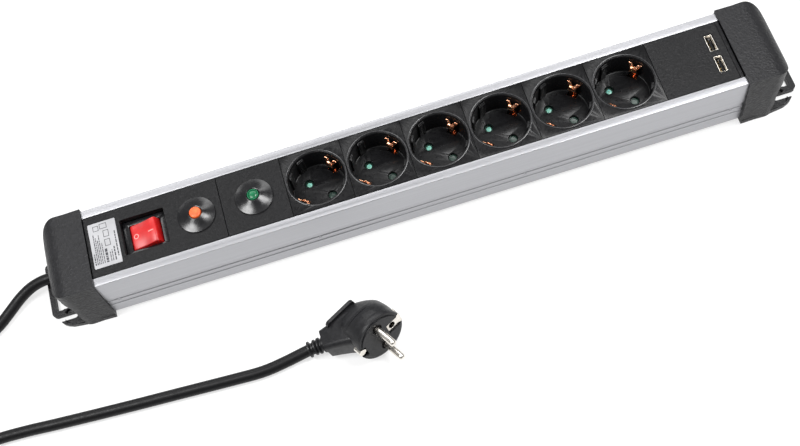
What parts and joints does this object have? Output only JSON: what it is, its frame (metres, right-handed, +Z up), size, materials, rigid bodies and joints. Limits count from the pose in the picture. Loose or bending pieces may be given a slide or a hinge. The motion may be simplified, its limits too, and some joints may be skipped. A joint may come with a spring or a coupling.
{
  "type": "desk power strip",
  "caption": "Aluminium power strip with earthed sockets, rocker switch, breaker button, lamp and charging ports, on a coiled cord with an angled plug.",
  "frame": {"origin": "middle of the strip's footprint on the surface that it stands on, without its cord", "axes": "+X along the strip from its cord end to its charging ports, +Y to its far side, +Z up"},
  "size_m": [0.7397, 0.1647, 0.053],
  "materials": {
    "anodised_aluminium": "fine drawn, natural anodised",
    "black_cap_plastic": "fine moulded texture",
    "black_cover_plastic": "fine spark texture",
    "socket_plastic": "semi gloss",
    "glossy_black": "polished",
    "shutter_green": "moulded",
    "copper": "bright copper alloy spring strip",
    "brass": "bright strip",
    "nickel": "nickel plated",
    "rocker_red": "translucent, polished",
    "button_orange": "satin",
    "lens_green": "translucent",
    "label_silver": "satin silver foil",
    "board_green": "solder mask",
    "component_blue": "dipped",
    "component_yellow": "taped",
    "zinc": "zinc plated",
    "cord_black": "smooth sheath",
    "plug_black": "moulded"
  },
  "bodies": {
    "strip": {"housing_profile": "anodised_aluminium", "end_cap_left": "black_cap_plastic", "end_cap_right": "black_cap_plastic", "end_spacer": "glossy_black", "switch_cover": "black_cover_plastic", "indicator_cover": "black_cover_plastic", "usb_cover": "black_cover_plastic", "live_busbar": "brass", "neutral_busbar": "brass", "earth_busbar": "brass", "rocker_switch_body": "black_cover_plastic", "breaker_bezel": "glossy_black", "indicator_bezel": "glossy_black", "indicator_lens": "lens_green", "breaker_body": "glossy_black", "surge_board": "board_green", "surge_varistor": "component_blue", "usb_board": "board_green", "usb_transformer": "component_yellow", "usb_port_1": "nickel", "usb_port_2": "nickel", "rating_label": "label_silver", "cable_gland": "cord_black", "cord_lead": "cord_black", "cord_plug_end": "cord_black", "cord_coil": "cord_black", "coil_tie": "glossy_black", "plug_body": "plug_black", "plug_relief": "plug_black", "plug_pin_1": "nickel", "plug_pin_2": "nickel", "plug_earth_contact_1": "nickel", "plug_earth_contact_2": "nickel", "socket_insert_1": "socket_plastic", "earth_clip_1": "copper", "socket_insert_2": "socket_plastic", "earth_clip_2": "copper", "socket_insert_3": "socket_plastic", "earth_clip_3": "copper", "socket_insert_4": "socket_plastic", "earth_clip_4": "copper", "socket_insert_5": "socket_plastic", "earth_clip_5": "copper", "socket_insert_6": "socket_plastic", "earth_clip_6": "copper", "cap_screw_1": "zinc", "cap_screw_2": "zinc", "cap_screw_3": "zinc", "cap_screw_4": "zinc"},
    "rocker": {"rocker": "rocker_red"},
    "breaker_button": {"breaker_button": "button_orange"},
    "shutter_1": {"shutter_1": "shutter_green"},
    "shutter_2": {"shutter_2": "shutter_green"},
    "shutter_3": {"shutter_3": "shutter_green"},
    "shutter_4": {"shutter_4": "shutter_green"},
    "shutter_5": {"shutter_5": "shutter_green"},
    "shutter_6": {"shutter_6": "shutter_green"}
  },
  "joints": [
    {"name": "rocker_tilt", "type": "hinge", "parent": "strip", "child": "rocker", "pos_m": [-0.187, 0, 0.0395], "axis": [0, 1, 0], "range_deg": [0, 28]},
    {"name": "breaker_press", "type": "slide", "parent": "strip", "child": "breaker_button", "axis": [0, 0, -1], "range_m": [0, 0.0022], "stiffness_N_per_m": 300, "springref_m": -0.001},
    {"name": "shutter_turn_1", "type": "hinge", "parent": "strip", "child": "shutter_1", "pos_m": [-0.064, 0, 0.02745], "axis": [0, 0, 1], "range_deg": [0, 40], "stiffness_Nm_per_rad": 0.001},
    {"name": "shutter_turn_2", "type": "hinge", "parent": "strip", "child": "shutter_2", "pos_m": [-0.0205, 0, 0.02745], "axis": [0, 0, 1], "range_deg": [0, 40], "stiffness_Nm_per_rad": 0.001},
    {"name": "shutter_turn_3", "type": "hinge", "parent": "strip", "child": "shutter_3", "pos_m": [0.023, 0, 0.02745], "axis": [0, 0, 1], "range_deg": [0, 40], "stiffness_Nm_per_rad": 0.001},
    {"name": "shutter_turn_4", "type": "hinge", "parent": "strip", "child": "shutter_4", "pos_m": [0.0665, 0, 0.02745], "axis": [0, 0, 1], "range_deg": [0, 40], "stiffness_Nm_per_rad": 0.001},
    {"name": "shutter_turn_5", "type": "hinge", "parent": "strip", "child": "shutter_5", "pos_m": [0.11, 0, 0.02745], "axis": [0, 0, 1], "range_deg": [0, 40], "stiffness_Nm_per_rad": 0.001},
    {"name": "shutter_turn_6", "type": "hinge", "parent": "strip", "child": "shutter_6", "pos_m": [0.1535, 0, 0.02745], "axis": [0, 0, 1], "range_deg": [0, 40], "stiffness_Nm_per_rad": 0.001}
  ]
}
